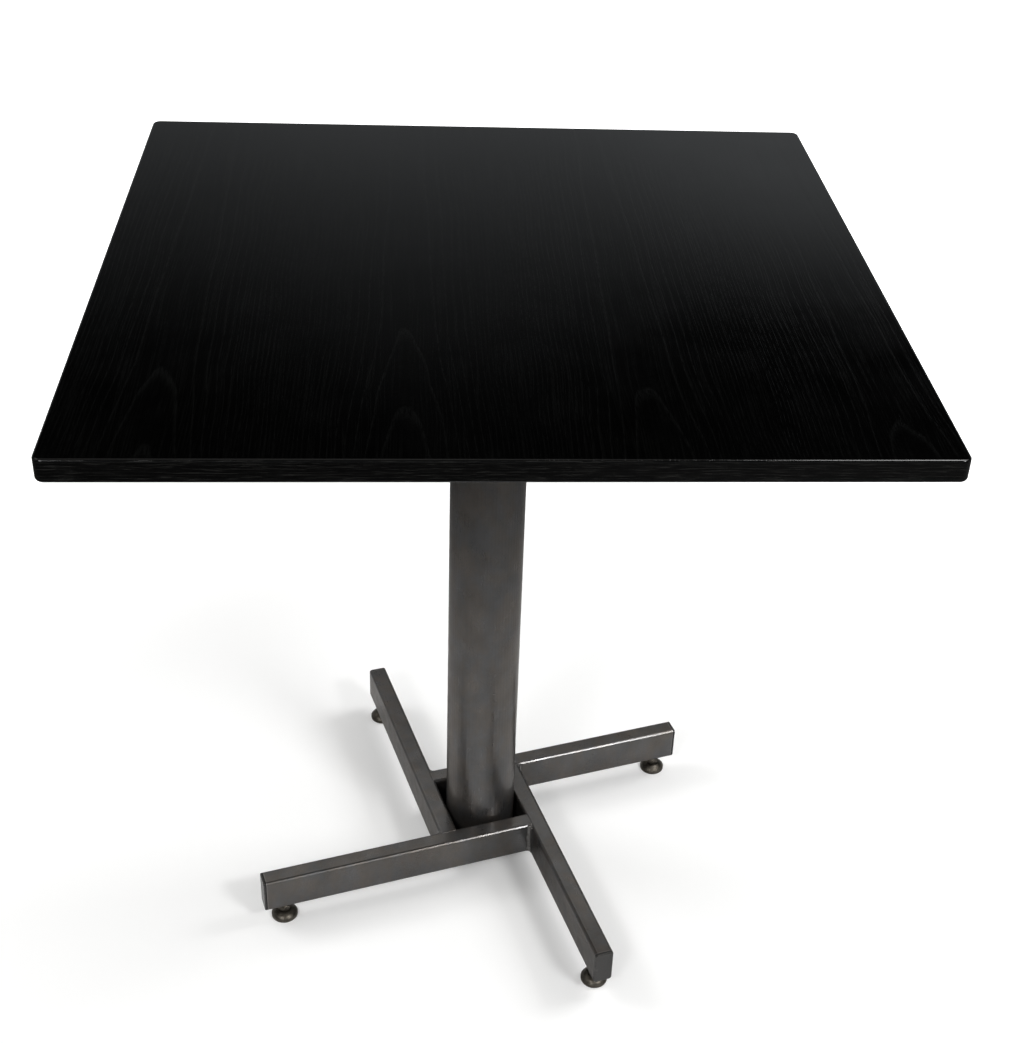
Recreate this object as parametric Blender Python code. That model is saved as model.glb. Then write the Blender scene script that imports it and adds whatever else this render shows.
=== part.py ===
"""Square bistro table: a veneered top on a steel column, clamped by a tie rod to a pinwheel base of
four rectangular tube arms that stand on swivel levelling feet.

Metres, +Z up. The origin is on the floor, under the column's axis. The top's edges lie along X and Y.
"""

import math

import bmesh
import bpy
from mathutils import Vector

# Whole table
TABLE_HEIGHT = 0.720
BASE_TURN = math.radians(16)  # the clamped base stands turned to the top
SEAT_GAP = 0.0003  # between pieces that rest on, or fit in, one another

# Table top
TOP_SIDE = 0.700
BOARD_THICKNESS = 0.019
VENEER_THICKNESS = 0.0006
GLUE_LINE = 0.0001
LIPPING_WIDTH = 0.012
TOP_CORNER_RADIUS = 0.008
UPPER_ARRIS_RADIUS = 0.002
LOWER_ARRIS_RADIUS = 0.003

# Steel plate under the top, and its wood screws
PLATE_SIDE = 0.320
PLATE_THICKNESS = 0.004
PLATE_CORNER_RADIUS = 0.020
SCREW_EDGE_DISTANCE = 0.020
SCREW_SHANK_DIAMETER = 0.0045
SCREW_BITE = 0.012
SCREW_TIP_LENGTH = 0.003
SCREW_TIP_DIAMETER = 0.0015
SCREW_HEAD_DIAMETER = 0.009
SCREW_HEAD_FLAT = 0.0065
SCREW_HEAD_HEIGHT = 0.003
SCREW_RECESS_WIDTH = 0.003
SCREW_RECESS_DEPTH = 0.0015

# Column and the rings that centre it
COLUMN_DIAMETER = 0.0761
COLUMN_WALL = 0.0026
RING_HEIGHT = 0.010
RING_WALL = 0.004

# Tie rod with its weld nut, nut and washer
ROD_DIAMETER = 0.010
ROD_END_LENGTH = 0.003
NUT_WIDTH = 0.017
NUT_HEIGHT = 0.008
NUT_CHAMFER = 0.001
WASHER_DIAMETER = 0.030
WASHER_THICKNESS = 0.0025

# Arms, welded as a pinwheel round a square opening
ARM_SIDES = ("left", "front", "right", "rear")  # where each arm points, a quarter turn apart
ARM_HEIGHT = 0.040
ARM_WIDTH = 0.020
ARM_WALL = 0.002
ARM_CORNER_RADIUS = 0.003
ARM_REACH = 0.260  # from the column's axis to the outer face of the end cap
COLUMN_SIDE_GAP = 0.002  # between the column and the sides of the opening
BASE_PLATE_THICKNESS = 0.004

# End caps
CAP_FLANGE = 0.0025
CAP_EDGE_RADIUS = 0.0012
CAP_PLUG_LENGTH = 0.010
CAP_PLUG_WALL = 0.002
CAP_RIB_COUNT = 2
CAP_RIB_HEIGHT = 0.0007
CAP_RIB_SLOPE = 0.0006

# Levelling feet, screwed home: the stem's shoulder is up against its bush
PAD_DIAMETER = 0.028
PAD_CHAMFER = 0.0008
PAD_RIM_HEIGHT = 0.0035
PAD_HEIGHT = 0.0090
PAD_HUB_DIAMETER = 0.014
PAD_BULGE = 0.0005
PAD_FLOOR = 0.0022
PAD_LIP_HEIGHT = 0.0020
STEM_HEAD_DIAMETER = 0.0105
STEM_NECK_DIAMETER = 0.007
STEM_HEX_WIDTH = 0.012
STEM_HEX_HEIGHT = 0.0060
STEM_SHOULDER_DIAMETER = 0.010
STEM_SHOULDER_HEIGHT = 0.0031
STEM_DIAMETER = 0.0078
STEM_CHAMFER = 0.001
STEM_SPARE = 0.006  # thread standing above the bush
BUSH_FLANGE = 0.001
BUSH_FLANGE_DIAMETER = 0.014
BUSH_DIAMETER = 0.0115
BUSH_LENGTH = 0.014
BUSH_TO_PLUG = 0.004

# Facets
COLUMN_SIDES = 64
RING_SIDES = 32
ROUND_SIDES = 24
SCREW_SIDES = 16
TOP_CORNER_STEPS = 8
SECTION_CORNER_STEPS = 3
ARRIS_STEPS = 4
CONE_STEPS = 4
SMOOTH_ANGLE = math.radians(35)

# Heights that follow
STEM_HEX_LOW = PAD_HEIGHT + SEAT_GAP
STEM_SEAT = STEM_HEX_LOW + STEM_HEX_HEIGHT + STEM_SHOULDER_HEIGHT
BUSH_SEAT = STEM_SEAT + SEAT_GAP + BUSH_FLANGE
ARM_UNDERSIDE = BUSH_SEAT + SEAT_GAP
BASE_PLATE_TOP = ARM_UNDERSIDE + BASE_PLATE_THICKNESS
TOP_THICKNESS = BOARD_THICKNESS + 2 * (VENEER_THICKNESS + GLUE_LINE)
TOP_UNDERSIDE = TABLE_HEIGHT - TOP_THICKNESS
PLATE_UPPER = TOP_UNDERSIDE - SEAT_GAP
PLATE_LOWER = PLATE_UPPER - PLATE_THICKNESS
SCREW_LENGTH = SEAT_GAP + PLATE_THICKNESS + SEAT_GAP + SCREW_BITE

# Plan sizes that follow
TOP_HALF = TOP_SIDE / 2
OPENING_HALF = COLUMN_DIAMETER / 2 + COLUMN_SIDE_GAP
ARM_OFFSET = OPENING_HALF + ARM_WIDTH / 2
ARM_TUBE_END = ARM_REACH - CAP_FLANGE - SEAT_GAP
ARM_BORE_RADIUS = max(ARM_CORNER_RADIUS - ARM_WALL, SEAT_GAP)
COLUMN_BORE_RADIUS = COLUMN_DIAMETER / 2 - COLUMN_WALL
ROD_HOLE_RADIUS = ROD_DIAMETER / 2 + SEAT_GAP
FOOT_INSET = CAP_FLANGE + CAP_PLUG_LENGTH + BUSH_TO_PLUG + BUSH_DIAMETER / 2
FOOT_REACH = ARM_REACH - FOOT_INSET
SCREW_SPREAD = PLATE_SIDE / 2 - SCREW_EDGE_DISTANCE

QUARTER = math.pi / 2


# Outlines: closed loops of points, with equal counts where they are lofted together


def circle(radius, z, sides=ROUND_SIDES):
    turns = [2 * math.pi * i / sides for i in range(sides)]
    return [Vector((radius * math.cos(t), radius * math.sin(t), z)) for t in turns]


def flat_sided(width, flats, z, sides):
    """A regular outline with this many flats, this width across, and as many points as a circle."""
    span = 2 * math.pi / flats
    points = []
    for i in range(sides):
        turn = 2 * math.pi * i / sides
        from_flat = (turn + span / 2) % span - span / 2
        radius = width / 2 / math.cos(from_flat)
        points.append(Vector((radius * math.cos(turn), radius * math.sin(turn), z)))
    return points


def hexagon(width, z, sides=ROUND_SIDES):
    return flat_sided(width, 6, z, sides)


def square(width, z, sides=ROUND_SIDES):
    return flat_sided(width, 4, z, sides)


def corner_arc(centre_x, centre_y, radius, start, end, z, steps):
    turns = [start + (end - start) * i / steps for i in range(steps + 1)]
    return [Vector((centre_x + radius * math.cos(t), centre_y + radius * math.sin(t), z)) for t in turns]


def rounded_rectangle(half_x, half_y, radius, z, steps):
    points = []
    for quarter, (sign_x, sign_y) in enumerate(((1, 1), (-1, 1), (-1, -1), (1, -1))):
        start = quarter * QUARTER
        centre_x = sign_x * (half_x - radius)
        centre_y = sign_y * (half_y - radius)
        points += corner_arc(centre_x, centre_y, radius, start, start + QUARTER, z, steps)
    return points


def shifted(loop, x, y):
    return [point + Vector((x, y, 0)) for point in loop]


def arris_levels(radius, shallow, deep):
    """(depth, inset) down a rounded arris, from one depth below the face to a deeper one."""
    first = math.asin(max(0.0, 1 - shallow / radius))
    last = math.asin(max(0.0, 1 - deep / radius))
    turns = [first + (last - first) * i / ARRIS_STEPS for i in range(ARRIS_STEPS + 1)]
    levels = [(radius * (1 - math.sin(t)), radius * (1 - math.cos(t))) for t in turns]
    if deep > radius:
        levels.append((deep, 0.0))
    return levels


# Solids and objects


def material(name, colour, roughness, metallic):
    made = bpy.data.materials.new(name)
    made.use_nodes = True
    shader = made.node_tree.nodes["Principled BSDF"]
    shader.inputs["Base Color"].default_value = (*colour, 1)
    shader.inputs["Roughness"].default_value = roughness
    shader.inputs["Metallic"].default_value = metallic
    return made


def lofted(loops, ring=False, shape=None):
    """A closed skin through loops of equal count: capped at both ends, or joined last to first."""
    shape = shape or bmesh.new()
    rows = [[shape.verts.new(point) for point in loop] for loop in loops]
    pairs = list(zip(rows, rows[1:]))
    if ring:
        pairs.append((rows[-1], rows[0]))
    else:
        shape.faces.new(rows[0])
        shape.faces.new(rows[-1])
    count = len(rows[0])
    for below, above in pairs:
        for i in range(count):
            after = (i + 1) % count
            shape.faces.new((below[i], below[after], above[after], above[i]))
    bmesh.ops.recalc_face_normals(shape, faces=shape.faces)
    return shape


def pipe(outer_radius, inner_radius, low, high, sides=ROUND_SIDES):
    outer = [circle(outer_radius, z, sides) for z in (low, high)]
    inner = [circle(inner_radius, z, sides) for z in (high, low)]
    return lofted(outer + inner, ring=True)


def placed(made, parent, location, rotation):
    bpy.context.collection.objects.link(made)
    made.parent = parent
    made.location = location
    made.rotation_euler = rotation
    return made


def empty(name, parent=None, location=(0, 0, 0), turn=0.0):
    return placed(bpy.data.objects.new(name, None), parent, location, (0, 0, turn))


def mesh_object(name, shape, parent, location, rotation):
    mesh = bpy.data.meshes.new(name)
    shape.to_mesh(mesh)
    shape.free()
    return placed(bpy.data.objects.new(name, mesh), parent, location, rotation)


def piece(name, shape, finish, parent, location=(0, 0, 0), rotation=(0, 0, 0)):
    made = mesh_object(name, shape, parent, location, rotation)
    made.data.shade_smooth()
    made.data.set_sharp_from_angle(angle=SMOOTH_ANGLE)
    made.data.materials.append(finish)
    return made


def cutter(name, shape, parent):
    made = mesh_object(name, shape, parent, (0, 0, 0), (0, 0, 0))
    made.hide_render = True
    made.display_type = "WIRE"
    return made


def cut(target, tool):
    difference = target.modifiers.new("cut", "BOOLEAN")
    difference.operation = "DIFFERENCE"
    difference.solver = "EXACT"
    difference.object = tool


# Table top


def top_outline(z, inset):
    half = TOP_HALF - inset
    return rounded_rectangle(half, half, TOP_CORNER_RADIUS - inset, z, TOP_CORNER_STEPS)


def veneer(face, arris_radius, inward):
    """A veneer whose outer face is at this height; inward is the sign of the way to the core."""
    levels = arris_levels(arris_radius, 0.0, VENEER_THICKNESS)
    return lofted([top_outline(face + inward * depth, inset) for depth, inset in levels])


def lipping_outline(z, inset):
    """Plan of the front lipping, mitred at both ends on the top's diagonals."""
    centre = TOP_HALF - TOP_CORNER_RADIUS
    radius = TOP_CORNER_RADIUS - inset
    spread = math.pi / 4 - math.asin(GLUE_LINE / 2 / radius)
    steps = TOP_CORNER_STEPS // 2
    left = corner_arc(-centre, -centre, radius, -QUARTER - spread, -QUARTER, z, steps)
    right = corner_arc(centre, -centre, radius, -QUARTER, -QUARTER + spread, z, steps)
    inner = TOP_HALF - LIPPING_WIDTH
    inner_end = inner - GLUE_LINE / math.sqrt(2)
    return left + right + [Vector((inner_end, -inner, z)), Vector((-inner_end, -inner, z))]


def lipping():
    skin = VENEER_THICKNESS + GLUE_LINE
    lower = arris_levels(LOWER_ARRIS_RADIUS, skin, LOWER_ARRIS_RADIUS)
    upper = arris_levels(UPPER_ARRIS_RADIUS, skin, UPPER_ARRIS_RADIUS)
    loops = [lipping_outline(TOP_UNDERSIDE + depth, inset) for depth, inset in lower]
    loops += [lipping_outline(TABLE_HEIGHT - depth, inset) for depth, inset in reversed(upper)]
    return lofted(loops)


def core():
    side = 2 * (TOP_HALF - LIPPING_WIDTH - GLUE_LINE)
    low = TOP_UNDERSIDE + VENEER_THICKNESS + GLUE_LINE
    return lofted([square(side, z) for z in (low, low + BOARD_THICKNESS)])


def screw_places():
    """Plan positions of the wood screws: the plate's corners and the middles of its sides."""
    steps = (-SCREW_SPREAD, 0.0, SCREW_SPREAD)
    return [(x, y) for y in steps for x in steps if (x, y) != (0.0, 0.0)]


def screw_holes():
    """The plate's clearance holes and the pilot holes above them, in one shape."""
    low = PLATE_LOWER - PLATE_THICKNESS
    high = PLATE_LOWER + SCREW_LENGTH
    holes = bmesh.new()
    for x, y in screw_places():
        loops = [circle(SCREW_SHANK_DIAMETER / 2 + SEAT_GAP, z, SCREW_SIDES) for z in (low, high)]
        lofted([shifted(loop, x, y) for loop in loops], shape=holes)
    return holes


def wood_screw():
    """A pan-head wood screw along +Z: its head's seat is at z = 0, with a square recess below."""
    head = SCREW_HEAD_DIAMETER / 2
    shank = SCREW_SHANK_DIAMETER / 2
    bottom = -SCREW_HEAD_HEIGHT
    recess = [square(SCREW_RECESS_WIDTH, z, SCREW_SIDES) for z in (bottom + SCREW_RECESS_DEPTH, bottom)]
    turned = (
        (SCREW_HEAD_FLAT / 2, bottom),
        (head, bottom / 2),
        (head, 0.0),
        (shank, 0.0),
        (shank, SCREW_LENGTH - SCREW_TIP_LENGTH),
        (SCREW_TIP_DIAMETER / 2, SCREW_LENGTH),
    )
    return lofted(recess + [circle(radius, z, SCREW_SIDES) for radius, z in turned])


def top_plate():
    half = PLATE_SIDE / 2
    levels = (PLATE_LOWER, PLATE_UPPER)
    return lofted([rounded_rectangle(half, half, PLATE_CORNER_RADIUS, z, TOP_CORNER_STEPS) for z in levels])


def make_top(table, stained_ash, board, steel, zinc):
    piece("face_veneer", veneer(TABLE_HEIGHT, UPPER_ARRIS_RADIUS, -1), stained_ash, table)
    for quarter, side in enumerate(("front", "right", "rear", "left")):
        piece(f"lipping_{side}", lipping(), stained_ash, table, rotation=(0, 0, quarter * QUARTER))
    drilled = [
        piece("core_board", core(), board, table),
        piece("backing_veneer", veneer(TOP_UNDERSIDE, LOWER_ARRIS_RADIUS, 1), stained_ash, table),
        piece("top_plate", top_plate(), steel, table),
    ]
    holes = cutter("screw_holes", screw_holes(), table)
    for target in drilled:
        cut(target, holes)
    for number, (x, y) in enumerate(screw_places(), 1):
        piece(f"wood_screw_{number}", wood_screw(), zinc, table, location=(x, y, PLATE_LOWER - SEAT_GAP))


# Column and tie rod


def make_column(table, lacquered_steel, steel):
    low = BASE_PLATE_TOP + SEAT_GAP
    high = PLATE_LOWER - SEAT_GAP
    column = pipe(COLUMN_DIAMETER / 2, COLUMN_BORE_RADIUS, low, high, COLUMN_SIDES)
    piece("column_tube", column, lacquered_steel, table)
    outer = COLUMN_BORE_RADIUS - SEAT_GAP
    for name, ring_low in (("lower_locating_ring", low), ("upper_locating_ring", high - RING_HEIGHT)):
        ring = pipe(outer, outer - RING_WALL, ring_low, ring_low + RING_HEIGHT, RING_SIDES)
        piece(name, ring, steel, table)


def nut(low):
    """A hexagon nut with its corners chamfered at both ends."""
    high = low + NUT_HEIGHT
    return lofted([
        hexagon(NUT_WIDTH - 2 * NUT_CHAMFER, low),
        hexagon(NUT_WIDTH, low + NUT_CHAMFER),
        hexagon(NUT_WIDTH, high - NUT_CHAMFER),
        hexagon(NUT_WIDTH - 2 * NUT_CHAMFER, high),
        circle(ROD_HOLE_RADIUS, high),
        circle(ROD_HOLE_RADIUS, low),
    ], ring=True)


def make_tie_rod(table, zinc, steel):
    washer_low = ARM_UNDERSIDE - SEAT_GAP - WASHER_THICKNESS
    nut_low = washer_low - SEAT_GAP - NUT_HEIGHT
    rod_top = PLATE_LOWER - SEAT_GAP
    rod = [circle(ROD_DIAMETER / 2, z) for z in (nut_low - ROD_END_LENGTH, rod_top)]
    washer = pipe(WASHER_DIAMETER / 2, ROD_HOLE_RADIUS, washer_low, washer_low + WASHER_THICKNESS)
    piece("tie_rod", lofted(rod), zinc, table)
    piece("tie_rod_weld_nut", nut(rod_top - NUT_HEIGHT), steel, table)
    piece("tie_rod_washer", washer, zinc, table)
    piece("tie_rod_nut", nut(nut_low), zinc, table)


# Base


def base_plate():
    """The plate that closes the opening under the column, flush with the arms' undersides."""
    side = 2 * (OPENING_HALF - SEAT_GAP)
    levels = (ARM_UNDERSIDE, BASE_PLATE_TOP)
    outer = [square(side, z) for z in levels]
    inner = [circle(ROD_HOLE_RADIUS, z) for z in reversed(levels)]
    return lofted(outer + inner, ring=True)


def arm_section(x, inset, radius):
    """The arm's outer section drawn in by an inset, standing across the arm at this distance along it."""
    flat = rounded_rectangle(ARM_WIDTH / 2 - inset, ARM_HEIGHT / 2 - inset, radius, 0.0, SECTION_CORNER_STEPS)
    return [Vector((x, point.x, point.y)) for point in flat]


def arm_tube():
    """A rectangular tube along +X, from its butt joint on the next arm's side to its outer end."""
    butt = -OPENING_HALF + SEAT_GAP
    outer = [arm_section(x, 0.0, ARM_CORNER_RADIUS) for x in (butt, ARM_TUBE_END)]
    inner = [arm_section(x, ARM_WALL, ARM_BORE_RADIUS) for x in (ARM_TUBE_END, butt)]
    return lofted(outer + inner, ring=True)


def end_cap():
    """An end cap along +X, in the arm's place: a hollow ribbed plug and a flange with eased edges."""
    crest_inset = ARM_WALL + SEAT_GAP
    root_inset = crest_inset + CAP_RIB_HEIGHT
    seat = ARM_TUBE_END + SEAT_GAP
    plug_end = seat - CAP_PLUG_LENGTH
    rib_pitch = CAP_PLUG_LENGTH / (CAP_RIB_COUNT + 1)
    stations = [(seat, root_inset + CAP_PLUG_WALL), (plug_end, root_inset + CAP_PLUG_WALL), (plug_end, root_inset)]
    for number in range(1, CAP_RIB_COUNT + 1):
        crest = plug_end + number * rib_pitch
        stations += [(crest - CAP_RIB_SLOPE, root_inset), (crest, crest_inset), (crest + CAP_RIB_SLOPE, root_inset)]
    stations.append((seat, root_inset))
    loops = [arm_section(x, inset, ARM_BORE_RADIUS) for x, inset in stations]
    loops.append(arm_section(seat, 0.0, ARM_CORNER_RADIUS))
    for depth, inset in reversed(arris_levels(CAP_EDGE_RADIUS, 0.0, CAP_EDGE_RADIUS)):
        loops.append(arm_section(ARM_REACH - depth, inset, ARM_CORNER_RADIUS - inset))
    return lofted(loops)


# Levelling feet


def bush():
    """A flanged threaded bush, upright, with its flange up against the arm."""
    flange, body = BUSH_FLANGE_DIAMETER / 2, BUSH_DIAMETER / 2
    bore = STEM_DIAMETER / 2 + SEAT_GAP
    low = BUSH_SEAT - BUSH_FLANGE
    turned = ((flange, low), (flange, BUSH_SEAT), (body, BUSH_SEAT), (body, low + BUSH_LENGTH))
    bored = ((bore, low + BUSH_LENGTH), (bore, low))
    return lofted([circle(radius, z) for radius, z in turned + bored], ring=True)


def pad():
    """A foot pad on the floor: chamfered rim, crowned cone, and a lipped socket that keeps the stem."""
    rim, hub = PAD_DIAMETER / 2, PAD_HUB_DIAMETER / 2
    socket = STEM_HEAD_DIAMETER / 2 + SEAT_GAP
    mouth = STEM_NECK_DIAMETER / 2 + SEAT_GAP
    lip_low = PAD_HEIGHT - PAD_LIP_HEIGHT
    turned = [(socket, PAD_FLOOR), (socket, lip_low), (mouth, lip_low), (mouth, PAD_HEIGHT)]
    for step in range(CONE_STEPS + 1):
        share = step / CONE_STEPS
        bulge = 4 * PAD_BULGE * share * (1 - share)
        height = PAD_HEIGHT - (PAD_HEIGHT - PAD_RIM_HEIGHT) * share
        turned.append((hub + (rim - hub) * share + bulge, height + bulge))
    turned += [(rim, PAD_CHAMFER), (rim - PAD_CHAMFER, 0.0)]
    return lofted([circle(radius, z) for radius, z in turned])


def stem():
    """A stem on the pad's axis: captive head, neck, hexagon for a spanner, shoulder and thread."""
    head, neck = STEM_HEAD_DIAMETER / 2, STEM_NECK_DIAMETER / 2
    shoulder, thread = STEM_SHOULDER_DIAMETER / 2, STEM_DIAMETER / 2
    head_top = PAD_HEIGHT - PAD_LIP_HEIGHT - SEAT_GAP
    hex_high = STEM_HEX_LOW + STEM_HEX_HEIGHT
    top = BUSH_SEAT - BUSH_FLANGE + BUSH_LENGTH + STEM_SPARE
    below = ((head, PAD_FLOOR + SEAT_GAP), (head, head_top), (neck, head_top), (neck, STEM_HEX_LOW))
    above = (
        (shoulder, hex_high),
        (shoulder, STEM_SEAT),
        (thread, STEM_SEAT),
        (thread, top - STEM_CHAMFER),
        (thread - STEM_CHAMFER, top),
    )
    loops = [circle(radius, z) for radius, z in below]
    loops += [hexagon(STEM_HEX_WIDTH, z) for z in (STEM_HEX_LOW, hex_high)]
    return lofted(loops + [circle(radius, z) for radius, z in above])


def bush_hole():
    radius = BUSH_DIAMETER / 2 + SEAT_GAP
    return lofted([circle(radius, z) for z in (ARM_UNDERSIDE - ARM_WALL, ARM_UNDERSIDE + 2 * ARM_WALL)])


def make_arm(side, axis, lacquered_steel, black_plastic, zinc):
    """One arm with its cap, bush and foot, along +X of its own axis."""
    centre = (0, ARM_OFFSET, ARM_UNDERSIDE + ARM_HEIGHT / 2)
    arm = piece(f"arm_{side}", arm_tube(), lacquered_steel, axis, location=centre)
    piece(f"end_cap_{side}", end_cap(), black_plastic, axis, location=centre)
    foot = empty(f"foot_axis_{side}", axis, location=(FOOT_REACH, ARM_OFFSET, 0))
    cut(arm, cutter(f"bush_hole_{side}", bush_hole(), foot))
    piece(f"foot_bush_{side}", bush(), zinc, foot)
    piece(f"foot_pad_{side}", pad(), zinc, foot)
    piece(f"foot_stem_{side}", stem(), zinc, foot)


def main():
    for old in list(bpy.data.objects):
        bpy.data.objects.remove(old, do_unlink=True)

    stained_ash = material("stained_ash", (0.006, 0.006, 0.006), 0.38, 0.0)
    board = material("core_board", (0.42, 0.30, 0.18), 0.8, 0.0)
    lacquered_steel = material("lacquered_steel", (0.10, 0.10, 0.105), 0.35, 0.9)
    steel = material("plain_steel", (0.16, 0.16, 0.165), 0.45, 0.9)
    zinc = material("dark_zinc", (0.14, 0.135, 0.13), 0.35, 0.9)
    black_plastic = material("black_plastic", (0.02, 0.02, 0.021), 0.4, 0.0)

    table = empty("table")
    make_top(table, stained_ash, board, steel, zinc)
    make_column(table, lacquered_steel, steel)
    make_tie_rod(table, zinc, steel)

    base = empty("base", table, turn=BASE_TURN)
    piece("base_plate", base_plate(), steel, base)
    for quarter, side in enumerate(ARM_SIDES):
        axis = empty(f"arm_axis_{side}", base, turn=math.pi + quarter * QUARTER)
        make_arm(side, axis, lacquered_steel, black_plastic, zinc)


main()
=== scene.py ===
"""Looks of the square bistro table: stained ash top, lacquered steel column and base, dark zinc feet."""

import math

import bmesh
import bpy
from mathutils import Matrix, Vector


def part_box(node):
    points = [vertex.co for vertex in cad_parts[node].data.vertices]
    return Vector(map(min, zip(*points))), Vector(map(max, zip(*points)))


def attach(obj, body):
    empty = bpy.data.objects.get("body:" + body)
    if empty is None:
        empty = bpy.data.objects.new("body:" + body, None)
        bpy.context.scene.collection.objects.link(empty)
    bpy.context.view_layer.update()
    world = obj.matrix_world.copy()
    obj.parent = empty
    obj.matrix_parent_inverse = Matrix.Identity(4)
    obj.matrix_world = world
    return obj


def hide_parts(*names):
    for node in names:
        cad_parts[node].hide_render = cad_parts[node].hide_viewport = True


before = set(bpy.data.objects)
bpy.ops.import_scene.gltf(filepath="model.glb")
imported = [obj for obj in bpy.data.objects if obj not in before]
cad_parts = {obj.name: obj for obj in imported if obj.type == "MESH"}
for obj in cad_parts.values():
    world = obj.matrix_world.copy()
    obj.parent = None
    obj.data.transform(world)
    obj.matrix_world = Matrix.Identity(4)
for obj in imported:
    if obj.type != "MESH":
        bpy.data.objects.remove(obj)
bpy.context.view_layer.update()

# Base: a pinwheel of four arms, turned to the top
BASE_TURN = math.radians(16)
ARM_SIDES = ("left", "front", "right", "rear")
ARM_WIDTH = 0.020
ARM_CORNER_RADIUS = 0.003
ARM_REACH = 0.260  # from the column's axis to an end cap's face
CAP_FLANGE = 0.0025
ARM_END = ARM_REACH - CAP_FLANGE  # where the tube meets its cap
OPENING_SIDE = 0.0801
ARM_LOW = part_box("arm_left")[0].z
ARM_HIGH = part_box("arm_left")[1].z

# Veneer: leaves cut one after another from the same flitch, laid side by side
LEAF_WIDTH = 0.1933
LEAF_CHANGE = 0.05  # how far the noise moves on from one leaf to the next
FIRST_LEAF_CENTRE = -0.272
LEAF_APEXES = (-0.203, -0.132, -0.234, -0.279)  # where the outer arch of each leaf's figure ends
ARCH_SPACING = 0.126  # from one arch of the figure to the next, along the grain
ARCH_HALF_WIDTH = 0.0246  # of an arch, one spacing below its end
BACK_SHARE = 0.15  # behind the outer arch the grain runs nearly straight

# Grain of the veneer and of the solid strips
STRIP_RING = 0.0027  # growth ring on the strips
STRIP_SLOPE = 0.6  # of the growth rings, across a strip
PORE_WIDTH = 0.0007
PORE_DEPTH = 0.00003
PORE_BREAK = 0.009  # from one gap in a pore line to the next
VESSEL_LENGTH = 0.012
ROW_RISE = (0.76, 0.94)  # shares of a growth ring over which its row of vessels begins
ROW_FALL = (0.95, 1.0)  # and ends

# Finishes
NOISE_RANGE = (0.3, 0.7)  # where nearly all of a noise lies
DRAWN_LINE_WIDTH = 0.0006
ARM_LINE_LENGTH = 0.06
COLUMN_LINE_LENGTH = 0.09
GROUND_GRAIN = 0.004
STEEL_ROUGHNESS = (0.28, 0.40)
LACQUER_ROUGHNESS = 0.12
END_HIGHLIGHT_BAND = (ARM_END - 0.0018, ARM_END - 0.0008)  # over which a painted highlight pales the tube's end
CAP_SEAM_SHADE = (ARM_END + 0.0004, ARM_END + 0.0012)  # over which the painted shade next to the cap's seam fades out
WOOD_SCREWS = 8

# Welds
WELD_LEG = 0.0044
WELD_ROOT = 0.0005  # how far the bead goes in behind the corner
WELD_HOLLOW = 0.92
WELD_RIPPLE = 0.0022
WELD_RIPPLE_SHARE = 0.10  # of the leg
WELD_SWELL_RATE = 310  # radians in a metre
WELD_SWELL_SHARE = 0.06  # of the leg
WELD_STEPS = 72
WELD_SECTION_STEPS = 6
SEAM_STEPS = 24
SEAM_SECTION_STEPS = 4
SEAM_INSET = 0.0004
SEAM_CLEARANCE = 0.0001  # to the rounded edge below it
SEAM_CROWN = 0.00005  # above the arms

# Feet, with heights above the floor
TURNED_SIDES = 60
TURNED_ANGLES = [2 * math.pi * step / TURNED_SIDES for step in range(TURNED_SIDES)]
SHARP_EDGE = math.radians(35)
PAD_RADIUS = 0.014
PAD_HUB_RADIUS = 0.007
PAD_MOUTH_RADIUS = 0.0038
PAD_SOCKET_RADIUS = 0.00555
PAD_RIM_TOP = 0.0035
PAD_LIP_LOW = 0.0070
PAD_FLOOR = 0.0022
PAD_CROWN = 0.0005
PAD_CROWN_STEPS = 12
PAD_EDGE_RADIUS = 0.0008
PAD_EDGE_STEPS = 4
STEM_HEAD_RADIUS = 0.00525
STEM_HEAD_TOP = 0.0067
STEM_NECK_RADIUS = 0.0035
STEM_HEX_WIDTH = 0.012
STEM_HEX_LOW = 0.0093
STEM_HEX_HIGH = 0.0153
STEM_HEX_CHAMFER = 0.0007
STEM_SHOULDER_RADIUS = 0.005
STEM_SEAT = 0.0184
STEM_RADIUS = 0.0039
STEM_CHAMFER = 0.001
THREAD_PITCH = 0.00125
THREAD_DEPTH = 0.0007
THREAD_FLAT = 0.2  # how far the flanks are cut off at crest and root
THREAD_STEPS = 8  # in one pitch

# Studio floor, with distances from the column's axis
FLOOR_HALF_SIDE = 12.0
FLOOR_CELLS = 20
FLOOR_DARKENS = (0.15, 0.95)  # in reflections
FLOOR_LIFTS = (0.5, 1.6)  # to white, for the camera
LEAST_LIFT = 0.12

# Studio light, with heights as sines of the angle above the horizon
LEFT_SIDE = (-0.18, 0.0)
RIGHT_SIDE = (0.02, 0.22)
BACKDROP_LOW = 0.20
BACKDROP_HIGH = 0.52
BACKDROP_STRENGTH = 0.44
DIFFUSER_LOW = 0.63
DIFFUSER_FADE = 0.06
DIFFUSER_STRENGTH = 1.35
ZENITH = (0.78, 0.86)
ZENITH_SHARE = 0.2  # of the diffuser's strength
WHITE = (1, 1, 1, 1)
BASE_CENTRE = (0, 0, 0.2)  # which the corner lamps face

# Picture, in pixels, and the camera fitted to it
PICTURE_WIDTH = 1024
PICTURE_HEIGHT = 1044
FOCAL_LENGTH = 1655.87
OPTICAL_CENTRE = (558.31, 531.74)
SENSOR = 36.0
CAMERA_PLACE = (-0.07343, -1.39553, 1.35623)
CAMERA_ANGLES = (56.313, -2.625, -4.229)


# Node helpers

def new_material(name):
    """An empty node material, as its material, its node tree and its Principled shader."""
    material = bpy.data.materials.new(name)
    material.use_nodes = True
    return material, material.node_tree, material.node_tree.nodes["Principled BSDF"]


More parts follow.
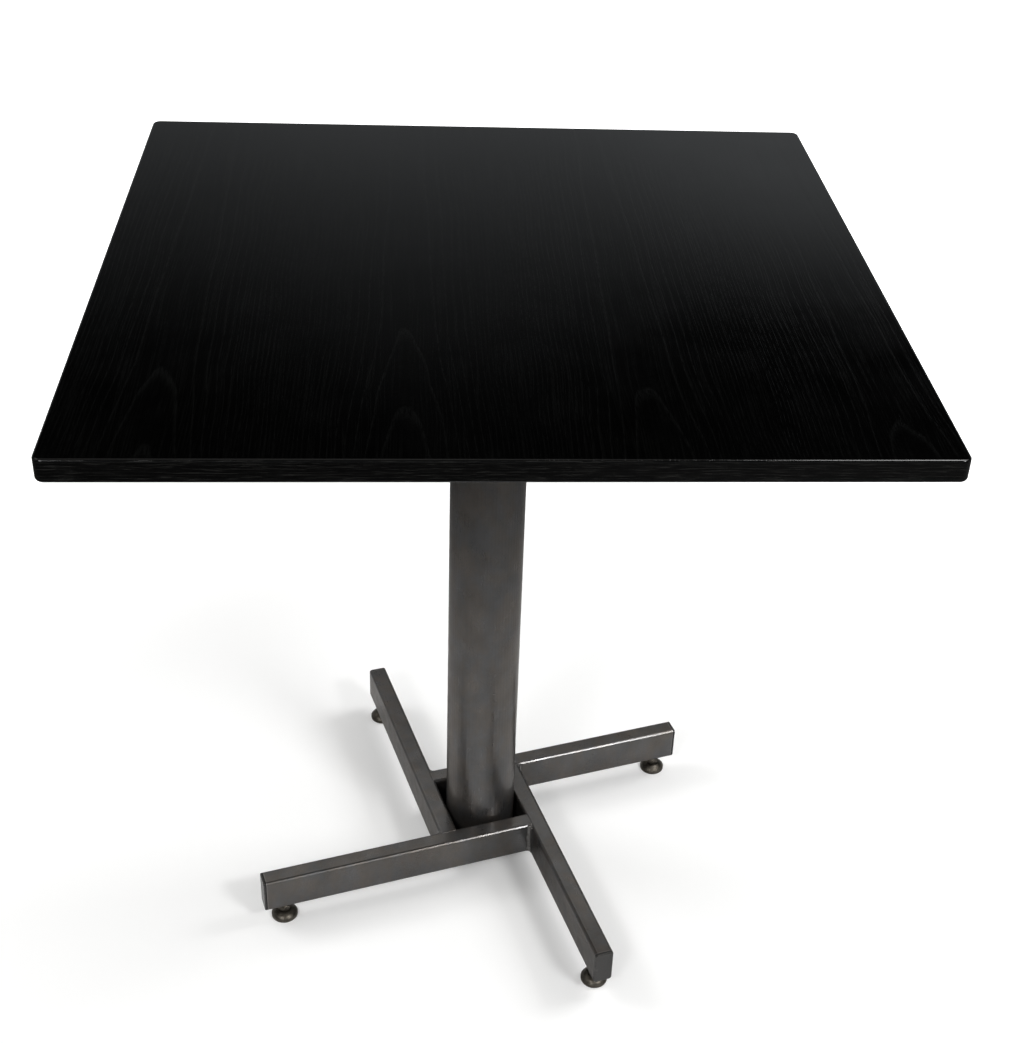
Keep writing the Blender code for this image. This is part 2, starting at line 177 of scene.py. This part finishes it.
def feed(tree, socket, value):
    """Sets a socket, or links it to the socket given as its value."""
    if isinstance(value, bpy.types.NodeSocket):
        tree.links.new(value, socket)
    else:
        socket.default_value = value


def put(tree, kind, inputs, **settings):
    """A new node of a kind, with its inputs and its own settings."""
    node = tree.nodes.new("ShaderNode" + kind)
    for name, value in settings.items():
        setattr(node, name, value)
    for key, value in inputs.items():
        feed(tree, node.inputs[key], value)
    return node


def maths(tree, operation, *values):
    """One sum of the kind Blender's Math node does."""
    return put(tree, "Math", dict(enumerate(values)), operation=operation).outputs[0]


def remap(tree, value, low, high, to_low=0.0, to_high=1.0):
    """A value moved smoothly from one range to another, and held at its ends."""
    inputs = {"Value": value, "From Min": low, "From Max": high, "To Min": to_low, "To Max": to_high}
    return put(tree, "MapRange", inputs, interpolation_type="SMOOTHSTEP").outputs["Result"]


def position(tree):
    """Place on the object, in metres, as three sockets."""
    place = tree.nodes.new("ShaderNodeTexCoord").outputs["Object"]
    split = put(tree, "SeparateXYZ", {"Vector": place})
    return split.outputs["X"], split.outputs["Y"], split.outputs["Z"]


def vector(tree, x, y, z):
    """Three sockets or numbers as one vector."""
    return put(tree, "CombineXYZ", {"X": x, "Y": y, "Z": z}).outputs["Vector"]


def stretched(tree, place, sizes):
    """A place counted in steps of one size for each direction."""
    steps = [maths(tree, "DIVIDE", part, size) for part, size in zip(place, sizes)]
    return vector(tree, *steps)


def noise(tree, place, sizes, detail=2.0, roughness=0.5):
    """Cloudy noise from 0 to 1, with blotches of about the given sizes in metres."""
    inputs = {"Vector": stretched(tree, place, sizes), "Scale": 1.0, "Detail": detail, "Roughness": roughness}
    return put(tree, "TexNoise", inputs).outputs["Fac"]


def spread(tree, cloud, low=0.0, high=1.0):
    """A noise moved from the range where it lies to another."""
    return remap(tree, cloud, *NOISE_RANGE, low, high)


def blend(tree, share, first, second):
    """A colour between two colours."""
    node = tree.nodes.new("ShaderNodeMix")
    node.data_type = "RGBA"
    sockets = {socket.identifier: socket for socket in node.inputs}
    feed(tree, sockets["Factor_Float"], share)
    feed(tree, sockets["A_Color"], first)
    feed(tree, sockets["B_Color"], second)
    return next(socket for socket in node.outputs if socket.identifier == "Result_Color")


def coloured(tree, shader, share, first, second):
    """Gives a shader a base colour between two colours."""
    feed(tree, shader.inputs["Base Color"], blend(tree, share, first, second))


def raised(tree, shader, height, distance):
    """Bump on a shader, from a height of 0 to 1 over a distance in metres."""
    bump = put(tree, "Bump", {"Height": height, "Distance": distance, "Strength": 1.0})
    tree.links.new(bump.outputs["Normal"], shader.inputs["Normal"])


# Stained ash

def wandering(tree, place, sizes, reach):
    """A slow drift of up to reach metres to either side."""
    drift = maths(tree, "SUBTRACT", noise(tree, place, sizes, 1.0), 0.5)
    return maths(tree, "MULTIPLY", drift, 4 * reach)


def grain_noise(tree, across, along, plane, width, length, roughness=0.5):
    """Noise drawn out along the grain, with a pattern of its own in each plane."""
    return noise(tree, (across, along, plane), (width, length, 1.0), 2.0, roughness)


def open_pores(tree, rings, across, along, line_width, line_length, strength):
    """How much of the grain is open pore: fine vessel lines, and rows of them where a growth ring starts."""
    streaks = grain_noise(tree, across, along, 0.0, line_width, line_length, 0.6)
    gaps = grain_noise(tree, across, along, 3.0, PORE_WIDTH, PORE_BREAK)
    broken = remap(tree, gaps, 0.36, 0.60, 0.3, 1.0)
    lines = maths(tree, "MULTIPLY", remap(tree, streaks, 0.50, 0.64, 0.0, strength), broken)
    within = maths(tree, "FRACT", rings)
    row = maths(tree, "MULTIPLY", remap(tree, within, *ROW_RISE), remap(tree, within, *ROW_FALL, 1.0, 0.0))
    dashes = grain_noise(tree, across, along, 7.0, PORE_WIDTH, VESSEL_LENGTH)
    vessels = remap(tree, dashes, 0.36, 0.58, 0.0, 0.75)
    return maths(tree, "MAXIMUM", lines, maths(tree, "MULTIPLY", row, vessels))


def finish_ash(tree, shader, pores, place, pore_colour):
    """Black stain under satin lacquer. The stain takes less in the pores, and the lacquer sinks into them."""
    cloud = spread(tree, noise(tree, place, (0.09, 0.25, 0.09), 2.0))
    stain = blend(tree, cloud, (0.0003, 0.0003, 0.0003, 1), (0.0005, 0.0005, 0.0005, 1))
    coloured(tree, shader, pores, stain, pore_colour)
    smear = noise(tree, place, (0.05, 0.05, 0.05), 3.0)
    satin = spread(tree, smear, 0.08, 0.11)
    feed(tree, shader.inputs["Roughness"], maths(tree, "MULTIPLY_ADD", pores, 0.05, satin))
    shader.inputs["Specular IOR Level"].default_value = 0.25
    raised(tree, shader, maths(tree, "SUBTRACT", 1.0, pores), PORE_DEPTH)


def veneer_ash(name):
    """Crown-cut ash leaves, with the grain from front to back."""
    material, tree, shader = new_material(name)
    x, y, z = position(tree)
    leaf = maths(tree, "DIVIDE", maths(tree, "SUBTRACT", x, FIRST_LEAF_CENTRE), LEAF_WIDTH)
    leaf = maths(tree, "ADD", leaf, 0.5)
    number = maths(tree, "FLOOR", leaf)
    across = maths(tree, "MULTIPLY", maths(tree, "SUBTRACT", maths(tree, "FRACT", leaf), 0.5), LEAF_WIDTH)
    apex = LEAF_APEXES[0]
    for step, following in enumerate(LEAF_APEXES[1:]):
        beyond = maths(tree, "GREATER_THAN", number, step + 0.5)
        apex = maths(tree, "MULTIPLY_ADD", beyond, following - LEAF_APEXES[step], apex)
    leaf_place = (across, y, maths(tree, "MULTIPLY", number, LEAF_CHANGE))
    across = maths(tree, "ADD", across, wandering(tree, leaf_place, (0.05, 0.17, 0.05), 0.0022))
    along = maths(tree, "ADD", y, wandering(tree, leaf_place, (0.025, 0.12, 0.05), 0.018))
    past = maths(tree, "SUBTRACT", along, apex)
    past = maths(tree, "MINIMUM", past, maths(tree, "MULTIPLY", past, BACK_SHARE))
    arches = maths(tree, "DIVIDE", past, ARCH_SPACING)
    beside = maths(tree, "ABSOLUTE", maths(tree, "DIVIDE", across, ARCH_HALF_WIDTH))
    rings = maths(tree, "ADD", maths(tree, "POWER", beside, 2.0), arches)
    pores = open_pores(tree, rings, across, along, line_width=0.0013, line_length=0.15, strength=0.5)
    finish_ash(tree, shader, pores, (x, y, z), (0.0022, 0.0023, 0.0022, 1))
    return material


def solid_ash(name, grain_along_x):
    """Straight-grained ash strip, with the grain along X or Y."""
    material, tree, shader = new_material(name)
    x, y, z = position(tree)
    along, side = (x, y) if grain_along_x else (y, x)
    level = maths(tree, "ADD", maths(tree, "MULTIPLY", side, STRIP_SLOPE), z)
    level = maths(tree, "ADD", level, wandering(tree, (side, along, z), (0.03, 0.20, 0.03), 0.0016))
    rings = maths(tree, "DIVIDE", level, STRIP_RING)
    pores = open_pores(tree, rings, level, along, line_width=0.0012, line_length=0.035, strength=1.0)
    finish_ash(tree, shader, pores, (x, y, z), (0.0105, 0.0105, 0.0098, 1))
    return material


# Metals, plastic and board

def turned_place(tree):
    """Place on the object in the base's own directions, so that each arm runs along X or Y."""
    x, y, z = position(tree)
    cosine, sine = math.cos(BASE_TURN), math.sin(BASE_TURN)
    forward = maths(tree, "ADD", maths(tree, "MULTIPLY", x, cosine), maths(tree, "MULTIPLY", y, sine))
    sideways = maths(tree, "SUBTRACT", maths(tree, "MULTIPLY", y, cosine), maths(tree, "MULTIPLY", x, sine))
    return forward, sideways, z


def lacquered_steel(name, drawn, length=None):
    """Bare drawn tube under clear lacquer: mottled brown and blue-grey, with fine lines the way it was drawn.

    An arm's length, 0 or 1 for the base's X or Y, adds a painted highlight, a paler band round the tube at
    its outer end."""
    material, tree, shader = new_material(name)
    place = turned_place(tree)
    blotch = remap(tree, noise(tree, place, (0.035, 0.035, 0.05), 4.0, 0.6), 0.32, 0.68)
    tint = remap(tree, noise(tree, place, (0.020, 0.020, 0.035), 3.0, 0.6), 0.36, 0.64)
    speck = remap(tree, noise(tree, place, (0.0011, 0.0011, 0.0011), 3.0, 0.7), 0.35, 0.65)
    cool = blend(tree, blotch, (0.070, 0.073, 0.078, 1), (0.117, 0.119, 0.125, 1))
    warm = blend(tree, blotch, (0.083, 0.070, 0.060, 1), (0.131, 0.115, 0.101, 1))
    metal = blend(tree, tint, cool, warm)
    metal = blend(tree, speck, metal, (0.101, 0.096, 0.092, 1))
    if length is not None:
        # Painted highlight: a paler band round the tube next to its end cap.
        end_highlight = remap(tree, maths(tree, "ABSOLUTE", place[length]), *END_HIGHLIGHT_BAND, 0.0, 0.5)
        metal = blend(tree, end_highlight, metal, (0.22, 0.21, 0.20, 1))
    feed(tree, shader.inputs["Base Color"], metal)
    shader.inputs["Metallic"].default_value = 0.8
    shader.inputs["Specular Tint"].default_value = (0.38, 0.36, 0.34, 1)
    lines = noise(tree, place, drawn, 2.0, 0.6)
    rub = noise(tree, place, (0.02, 0.02, 0.02), 4.0, 0.6)
    dull = spread(tree, rub, *STEEL_ROUGHNESS)
    feed(tree, shader.inputs["Roughness"], maths(tree, "ADD", dull, spread(tree, lines, -0.04, 0.04)))
    shader.inputs["Coat Weight"].default_value = 0.35
    shader.inputs["Coat Roughness"].default_value = LACQUER_ROUGHNESS
    raised(tree, shader, lines, 0.00002)
    return material


def weld_steel(name):
    """Weld bead under the same lacquer, with heat tint, paler than the tube partly as ground metal and partly
    as a painted highlight on the fillet.
    """
    material, tree, shader = new_material(name)
    place = position(tree)
    heat = remap(tree, noise(tree, place, (0.006, 0.006, 0.004), 3.0), 0.35, 0.65)
    # Painted highlight in part: both colours are paler than the tube's, to brighten the fillet.
    coloured(tree, shader, heat, (0.085, 0.080, 0.076, 1), (0.160, 0.155, 0.150, 1))
    shader.inputs["Metallic"].default_value = 1.0
    grain = noise(tree, place, (0.0012, 0.0012, 0.0012), 3.0, 0.6)
    feed(tree, shader.inputs["Roughness"], spread(tree, grain, *STEEL_ROUGHNESS))
    shader.inputs["Coat Weight"].default_value = 0.6
    shader.inputs["Coat Roughness"].default_value = LACQUER_ROUGHNESS
    raised(tree, shader, grain, 0.00008)
    return material


def plain_steel(name):
    """Mill-finished plate: dark scale with worn, paler patches, darkened further as painted shade so that the
    opening round the column looks black.
    """
    material, tree, shader = new_material(name)
    place = position(tree)
    worn = remap(tree, noise(tree, place, (0.03, 0.03, 0.03), 5.0, 0.65), 0.4, 0.7)
    # Painted shade: both colours are darker than the plate's own, so that the opening round the column looks
    # black.
    coloured(tree, shader, worn, (0.022, 0.022, 0.023, 1), (0.050, 0.049, 0.048, 1))
    shader.inputs["Metallic"].default_value = 1.0
    grain = noise(tree, place, (0.0015, 0.0015, 0.0015), 3.0, 0.6)
    feed(tree, shader.inputs["Roughness"], spread(tree, grain, 0.48, 0.62))
    raised(tree, shader, grain, 0.00003)
    return material


def dark_zinc(name):
    """Dark passivated zinc on turned steel: brownish, with fine turning marks round the vertical axis."""
    material, tree, shader = new_material(name)
    place = position(tree)
    tarnish = remap(tree, noise(tree, place, (0.007, 0.007, 0.004), 4.0, 0.6), 0.35, 0.65)
    coloured(tree, shader, tarnish, (0.062, 0.055, 0.045, 1), (0.115, 0.105, 0.090, 1))
    shader.inputs["Metallic"].default_value = 1.0
    turning = noise(tree, place, (0.02, 0.02, 0.00035), 2.0, 0.6)
    feed(tree, shader.inputs["Roughness"], spread(tree, turning, 0.36, 0.48))
    raised(tree, shader, turning, 0.00001)
    return material


def black_plastic(name, length):
    """Moulded nylon cap: fine spark texture, scuffs a little paler, and painted shade darkening it next to
    its seam with the tube.

    The arm's length is 0 or 1, for the base's X or Y."""
    material, tree, shader = new_material(name)
    place = turned_place(tree)
    scuff = remap(tree, noise(tree, place, (0.012, 0.012, 0.004), 4.0, 0.65), 0.48, 0.72)
    nylon = blend(tree, scuff, (0.013, 0.012, 0.011, 1), (0.030, 0.027, 0.024, 1))
    # Painted shade: the cap is darkened next to its seam with the tube.
    seam_shade = remap(tree, maths(tree, "ABSOLUTE", place[length]), *CAP_SEAM_SHADE, 1.0, 0.0)
    coloured(tree, shader, seam_shade, nylon, (0.003, 0.003, 0.003, 1))
    spark = noise(tree, place, (0.0005, 0.0005, 0.0005), 2.0, 0.6)
    sheen = spread(tree, spark, 0.22, 0.32)
    feed(tree, shader.inputs["Roughness"], maths(tree, "MULTIPLY_ADD", seam_shade, 0.5, sheen))
    raised(tree, shader, spark, 0.00001)
    return material


def core_board(name):
    """Pressed wood board: pale brown chips of many sizes."""
    material, tree, shader = new_material(name)
    place = position(tree)
    chip = spread(tree, noise(tree, place, (0.004, 0.004, 0.0012), 5.0, 0.7))
    coloured(tree, shader, chip, (0.25, 0.16, 0.085, 1), (0.48, 0.36, 0.23, 1))
    feed(tree, shader.inputs["Roughness"], remap(tree, chip, 0.0, 1.0, 0.75, 0.9))
    raised(tree, shader, chip, 0.0002)
    return material


# Finishes on the CAD nodes

def paint(finish, *names):
    """Gives CAD nodes their finish."""
    for name in names:
        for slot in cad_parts[name].material_slots:
            slot.material = finish


def on_each_side(stem):
    """The names of a piece's copies on the four arms."""
    return [f"{stem}_{side}" for side in ARM_SIDES]


def dress_frame(zinc):
    """Finishes every CAD node that stays, with the given zinc on the small parts."""
    steel = plain_steel("mill_steel_painted_shade")
    width = DRAWN_LINE_WIDTH
    along_x = lacquered_steel("arm_steel_along_x", (ARM_LINE_LENGTH, width, width), 0)
    along_y = lacquered_steel("arm_steel_along_y", (width, ARM_LINE_LENGTH, width), 1)
    along_z = lacquered_steel("column_steel", (width, width, COLUMN_LINE_LENGTH))
    paint(veneer_ash("ash_veneer"), "face_veneer", "backing_veneer")
    paint(solid_ash("ash_along_x", True), "lipping_front", "lipping_rear")
    paint(solid_ash("ash_along_y", False), "lipping_left", "lipping_right")
    paint(core_board("pressed_board"), "core_board")
    paint(along_z, "column_tube")
    paint(along_x, "arm_left", "arm_right")
    paint(along_y, "arm_front", "arm_rear")
    paint(black_plastic("cap_plastic_along_x", 0), "end_cap_left", "end_cap_right")
    paint(black_plastic("cap_plastic_along_y", 1), "end_cap_front", "end_cap_rear")
    paint(steel, "top_plate", "base_plate", "upper_locating_ring", "lower_locating_ring", "tie_rod_weld_nut")
    paint(zinc, "tie_rod", "tie_rod_washer", "tie_rod_nut")
    paint(zinc, *[f"wood_screw_{number + 1}" for number in range(WOOD_SCREWS)])
    paint(zinc, *on_each_side("foot_bush"))


# Meshes

def quarter_turn(steps):
    """Angles from 0 to a right angle, in equal steps."""
    return [math.pi / 2 * step / steps for step in range(steps + 1)]


def skin(mesh, rows):
    """Joins rows of points, each a closed outline, into one smooth closed surface."""
    for low, high in zip(rows, rows[1:]):
        for index in range(len(low)):
            after = (index + 1) % len(low)
            mesh.faces.new((low[index], low[after], high[after], high[index])).smooth = True
    mesh.faces.new(rows[0][::-1])
    mesh.faces.new(rows[-1])


def finished(name, mesh, finish):
    """A piece from a mesh, with its finish."""
    bmesh.ops.recalc_face_normals(mesh, faces=mesh.faces)
    data = bpy.data.meshes.new(name)
    mesh.to_mesh(data)
    mesh.free()
    data.materials.append(finish)
    piece = bpy.data.objects.new(name, data)
    bpy.context.scene.collection.objects.link(piece)
    return piece


# Levelling feet

def hexagon_radius(angle):
    """Distance from the axis to the hexagon's side, in one direction."""
    turn = (angle + math.pi / 6) % (math.pi / 3) - math.pi / 6
    return STEM_HEX_WIDTH / 2 / math.cos(turn)


def thread_radius(angle, z):
    """Distance from the axis to a right-hand thread, in one direction and at one height."""
    phase = (z / THREAD_PITCH - angle / (2 * math.pi)) % 1
    flank = (1 + 2 * THREAD_FLAT) * abs(2 * phase - 1) - THREAD_FLAT
    crest = min(max(flank, 0.0), 1.0)
    return STEM_RADIUS - THREAD_DEPTH * (1 - crest)


def round_level(radius, z):
    """One height on a turned piece, with its distances from the axis all the way round."""
    return z, [radius] * TURNED_SIDES


def stem_levels(low, high):
    """Captive head, neck, hexagon with its corners eased, shoulder and cut thread."""
    levels = [round_level(STEM_HEAD_RADIUS, z) for z in (low, STEM_HEAD_TOP)]
    levels += [round_level(STEM_NECK_RADIUS, z) for z in (STEM_HEAD_TOP, STEM_HEX_LOW)]
    across_flats, across_corners = STEM_HEX_WIDTH / 2, STEM_HEX_WIDTH / math.sqrt(3)
    for end, inward in ((STEM_HEX_LOW, 1), (STEM_HEX_HIGH, -1)):
        edges = [(end, across_flats), (end + inward * STEM_HEX_CHAMFER, across_corners)]
        for z, limit in edges[::inward]:
            levels.append((z, [min(hexagon_radius(angle), limit) for angle in TURNED_ANGLES]))
    levels += [round_level(STEM_SHOULDER_RADIUS, z) for z in (STEM_HEX_HIGH, STEM_SEAT)]
    count = round((high - STEM_SEAT) / THREAD_PITCH * THREAD_STEPS)
    for step in range(count + 1):
        z = STEM_SEAT + (high - STEM_SEAT) * step / count
        limit = STEM_RADIUS - max(STEM_CHAMFER - (high - z), 0.0)
        levels.append((z, [min(thread_radius(angle, z), limit) for angle in TURNED_ANGLES]))
    return levels


def pad_levels(low, high):
    """Rounded lower edge, rim, crowned cone up to the hub, and the lipped socket from mouth to floor."""
    levels = []
    for angle in quarter_turn(PAD_EDGE_STEPS):
        radius = PAD_RADIUS - PAD_EDGE_RADIUS * (1 - math.sin(angle))
        levels.append(round_level(radius, low + PAD_EDGE_RADIUS * (1 - math.cos(angle))))
    for step in range(PAD_CROWN_STEPS + 1):
        share = 1 - step / PAD_CROWN_STEPS
        crown = 4 * PAD_CROWN * share * (1 - share)
        radius = PAD_HUB_RADIUS + (PAD_RADIUS - PAD_HUB_RADIUS) * share
        levels.append(round_level(radius + crown, high - (high - PAD_RIM_TOP) * share + crown))
    levels += [round_level(PAD_MOUTH_RADIUS, z) for z in (high, PAD_LIP_LOW)]
    return levels + [round_level(PAD_SOCKET_RADIUS, z) for z in (PAD_LIP_LOW, PAD_FLOOR)]


def turned_piece(name, plain, shape, finish):
    """A piece turned about the upright axis of the plain CAD node that it stands for."""
    lowest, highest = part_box(plain)
    axis = (lowest + highest) / 2
    mesh = bmesh.new()
    rows = []
    for z, radii in shape(lowest.z, highest.z):
        row = []
        for angle, radius in zip(TURNED_ANGLES, radii):
            x = axis.x + radius * math.cos(angle)
            y = axis.y + radius * math.sin(angle)
            row.append(mesh.verts.new((x, y, z)))
        rows.append(row)
    skin(mesh, rows)
    for edge in mesh.edges:
        edge.smooth = edge.calc_face_angle(0.0) < SHARP_EDGE
    piece = finished(name, mesh, finish)
    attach(piece, plain)
    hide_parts(plain)


def make_feet(finish):
    """A smooth pad and a threaded stem in place of each plain one."""
    for side in ARM_SIDES:
        turned_piece(f"crowned_pad_{side}", f"foot_pad_{side}", pad_levels, finish)
        turned_piece(f"threaded_stem_{side}", f"foot_stem_{side}", stem_levels, finish)


# Welds where each arm butts against the next

def weld_section(z):
    """The bead's outline at one height, from one leg to the other: hollow, and rippled along its length."""
    ripple = WELD_RIPPLE_SHARE * math.sin(2 * math.pi * z / WELD_RIPPLE)
    swell = WELD_SWELL_SHARE * math.sin(WELD_SWELL_RATE * z)
    leg = WELD_LEG * (1 + ripple + swell)
    points = []
    for angle in quarter_turn(WELD_SECTION_STEPS):
        x = leg * (1 - math.sin(angle) * WELD_HOLLOW)
        y = leg * (1 - math.cos(angle) * WELD_HOLLOW)
        points.append((x, y))
    return points


def edge_drop(distance):
    """How far an arm's rounded edge lies behind its side, at a distance from the edge's end."""
    rise = max(ARM_CORNER_RADIUS - distance, 0.0)
    return ARM_CORNER_RADIUS - math.sqrt(ARM_CORNER_RADIUS ** 2 - rise ** 2)


def ride_on_table(name, mesh, turn, finish):
    """Turns a mesh about the column's axis and makes it a steel piece fixed to the table."""
    bmesh.ops.rotate(mesh, verts=mesh.verts, cent=(0, 0, 0), matrix=Matrix.Rotation(turn, 3, "Z"))
    piece = finished(name, mesh, finish)
    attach(piece, "table")


def weld_bead(name, corner, turn, finish):
    """A vertical fillet in the corner between two arms, which open towards -X and -Y before it is turned."""
    mesh = bmesh.new()
    rows = []
    for step in range(WELD_STEPS + 1):
        z = ARM_LOW + SEAM_INSET + (ARM_HIGH - ARM_LOW - 2 * SEAM_INSET) * step / WELD_STEPS
        drop = edge_drop(min(z - ARM_LOW, ARM_HIGH - z))
        outline = [(-WELD_ROOT, -WELD_ROOT)] + weld_section(z)
        rows.append([mesh.verts.new((corner[0] + drop - x, corner[1] + drop - y, z)) for x, y in outline])
    skin(mesh, rows)
    ride_on_table(name, mesh, turn, finish)


def weld_seam(name, place, upper, turn, finish):
    """Ground weld in the groove between an arm's end and the rounded edge of the arm it butts against.

    The end lies at X = place and the arm runs from Y = -place - ARM_WIDTH to -place before it is turned."""
    mesh = bmesh.new()
    rows = []
    for step in range(SEAM_STEPS + 1):
        run = SEAM_INSET + (ARM_WIDTH - 2 * SEAM_INSET) * step / SEAM_STEPS
        drop = edge_drop(min(run, ARM_WIDTH - run))
        outline = [(-SEAM_INSET, ARM_CORNER_RADIUS)]
        for angle in quarter_turn(SEAM_SECTION_STEPS):
            sunk = ARM_CORNER_RADIUS * (1 - math.sin(angle)) + SEAM_CLEARANCE
            outline.append((ARM_CORNER_RADIUS * (1 - math.cos(angle)), max(sunk, drop)))
        outline += [(ARM_CORNER_RADIUS * share, drop - SEAM_CROWN) for share in (1.0, 0.5, 0.0)]
        outline.append((-SEAM_INSET, drop - SEAM_CROWN))
        heights = [ARM_HIGH - sunk if upper else ARM_LOW + sunk for x, sunk in outline]
        y = -place - ARM_WIDTH + run
        rows.append([mesh.verts.new((place + x, y, z)) for (x, sunk), z in zip(outline, heights)])
    skin(mesh, rows)
    ride_on_table(name, mesh, turn, finish)


def make_welds():
    """A bead at each outer corner of the pinwheel, and ground seams above and below each butt joint."""
    bead = weld_steel("weld_bead_finish")
    ground = lacquered_steel("ground_weld_finish", (GROUND_GRAIN, GROUND_GRAIN, GROUND_GRAIN))
    half = OPENING_SIDE / 2
    for number, side in enumerate(ARM_SIDES):
        turn = BASE_TURN + number * math.pi / 2
        weld_bead(f"weld_bead_{side}", (half, -half - ARM_WIDTH), turn, bead)
        weld_seam(f"upper_weld_seam_{side}", half, True, turn, ground)
        weld_seam(f"lower_weld_seam_{side}", half, False, turn, ground)


# Studio

def floor_paint(name):
    """Pale paint that keeps the shadow. The camera sees it lifted to white away from the table, and
    reflections see it darker there, as a studio's dark sides would make it."""
    material, tree, shader = new_material(name)
    x, y, z = position(tree)
    speckle = noise(tree, (x, y, z), (0.3, 0.3, 0.3), 3.0)
    pale = blend(tree, speckle, (0.88, 0.88, 0.88, 1), (0.90, 0.90, 0.90, 1))
    path = tree.nodes.new("ShaderNodeLightPath").outputs
    away = maths(tree, "SQRT", maths(tree, "MULTIPLY_ADD", x, x, maths(tree, "MULTIPLY", y, y)))
    mirrored = maths(tree, "MAXIMUM", path["Is Glossy Ray"], path["Is Transmission Ray"])
    most = remap(tree, x, -0.3, 0.6, 0.98, 0.90)
    dark = maths(tree, "MULTIPLY", remap(tree, away, *FLOOR_DARKENS), most)
    coloured(tree, shader, maths(tree, "MULTIPLY", mirrored, dark), pale, (0.05, 0.05, 0.05, 1))
    shader.inputs["Roughness"].default_value = 0.9
    shader.inputs["Specular IOR Level"].default_value = 0.1
    shader.inputs["Emission Color"].default_value = WHITE
    lift = maths(tree, "MULTIPLY", path["Is Camera Ray"], remap(tree, away, *FLOOR_LIFTS, LEAST_LIFT, 1.0))
    feed(tree, shader.inputs["Emission Strength"], lift)
    return material


def make_floor():
    """A wide floor that the table stands on."""
    mesh = bmesh.new()
    bmesh.ops.create_grid(mesh, x_segments=FLOOR_CELLS, y_segments=FLOOR_CELLS, size=FLOOR_HALF_SIDE)
    data = bpy.data.meshes.new("floor")
    mesh.to_mesh(data)
    mesh.free()
    floor = bpy.data.objects.new("floor", data)
    bpy.context.scene.collection.objects.link(floor)
    data.materials.append(floor_paint("floor_paint"))


def make_world():
    """A pale backdrop that ends above the horizon, a dark gap, and a diffuser that is dimmer at the zenith.

    The backdrop is lower and weaker at its sides. The camera sees white."""
    world = bpy.data.worlds.new("studio")
    world.use_nodes = True
    tree = world.node_tree
    background = tree.nodes["Background"].inputs
    direction = tree.nodes.new("ShaderNodeTexCoord").outputs["Generated"]
    split = put(tree, "SeparateXYZ", {"Vector": direction}).outputs
    height = split["Z"]
    right = remap(tree, split["X"], *RIGHT_SIDE)
    left = remap(tree, split["X"], *LEFT_SIDE, 1.0, 0.0)
    low = maths(tree, "MULTIPLY_ADD", right, 0.15, BACKDROP_LOW)
    high = maths(tree, "MULTIPLY_ADD", left, -0.04, BACKDROP_HIGH)
    high = maths(tree, "MULTIPLY_ADD", right, -0.075, high)
    strength = maths(tree, "MULTIPLY_ADD", left, -0.06, BACKDROP_STRENGTH)
    strength = maths(tree, "MULTIPLY_ADD", right, -0.09, strength)
    backdrop = remap(tree, height, low, high, strength, 0.0)
    start = maths(tree, "MULTIPLY_ADD", right, 0.03, DIFFUSER_LOW)
    full = maths(tree, "ADD", start, DIFFUSER_FADE)
    diffuser = remap(tree, height, start, full, 0.0, DIFFUSER_STRENGTH)
    zenith = remap(tree, height, *ZENITH, 1.0, ZENITH_SHARE)
    glow = maths(tree, "MULTIPLY_ADD", diffuser, zenith, backdrop)
    seen = tree.nodes.new("ShaderNodeLightPath").outputs["Is Camera Ray"]
    feed(tree, background["Strength"], maths(tree, "MAXIMUM", glow, seen))
    warmth = blend(tree, remap(tree, height, 0.50, 0.62), (0.93, 0.97, 1.0, 1), (1.0, 0.985, 0.955, 1))
    feed(tree, background["Color"], blend(tree, seen, warmth, WHITE))
    bpy.context.scene.world = world


def lamp(name, place, target, size, power, mirrored=True, lighting=True):
    """A soft box of a width and height that faces a target.

    One that isn't mirrored doesn't show in reflections, and one that isn't lighting shows only there."""
    data = bpy.data.lights.new(name, "AREA")
    data.shape = "RECTANGLE"
    data.size, data.size_y = size
    data.energy = power
    light = bpy.data.objects.new(name, data)
    light.location = place
    light.rotation_euler = (Vector(target) - Vector(place)).to_track_quat("-Z", "Y").to_euler()
    light.visible_glossy = mirrored
    light.visible_diffuse = lighting
    bpy.context.scene.collection.objects.link(light)


def make_lamps():
    """Four boxes at the corners, the right ones stronger, one overhead, and one for reflections only."""
    lamp("right_front", (2.2, -2.45, 3.05), BASE_CENTRE, (0.8, 0.45), 54)
    lamp("left_front", (-1.5, -3.0, 2.8), BASE_CENTRE, (0.6, 0.6), 28)
    lamp("right_rear", (2.9, 1.1, 2.7), BASE_CENTRE, (1.5, 1.5), 60, mirrored=False)
    lamp("left_rear", (-2.9, 1.1, 2.7), BASE_CENTRE, (1.5, 1.5), 38, mirrored=False)
    lamp("overhead", (0.0, 0.0, 3.2), (0, 0, 0), (2.4, 2.4), 27, mirrored=False)
    lamp("right_overhead", (1.25, 0.15, 3.05), (0, 0, 0.7), (1.2, 1.1), 66, lighting=False)


def make_camera():
    """The photograph's viewpoint."""
    data = bpy.data.cameras.new("camera")
    data.sensor_width = SENSOR
    data.lens = FOCAL_LENGTH * SENSOR / PICTURE_HEIGHT
    data.shift_x = (PICTURE_WIDTH / 2 - OPTICAL_CENTRE[0]) / PICTURE_HEIGHT
    data.shift_y = (OPTICAL_CENTRE[1] - PICTURE_HEIGHT / 2) / PICTURE_HEIGHT
    camera = bpy.data.objects.new("camera", data)
    camera.location = CAMERA_PLACE
    camera.rotation_euler = [math.radians(angle) for angle in CAMERA_ANGLES]
    bpy.context.scene.collection.objects.link(camera)
    bpy.context.scene.camera = camera


small_part_zinc = dark_zinc("dark_zinc_finish")
dress_frame(small_part_zinc)
make_feet(small_part_zinc)
make_welds()
make_floor()
make_world()
make_lamps()
make_camera()
bpy.context.scene.view_settings.view_transform = "Standard"
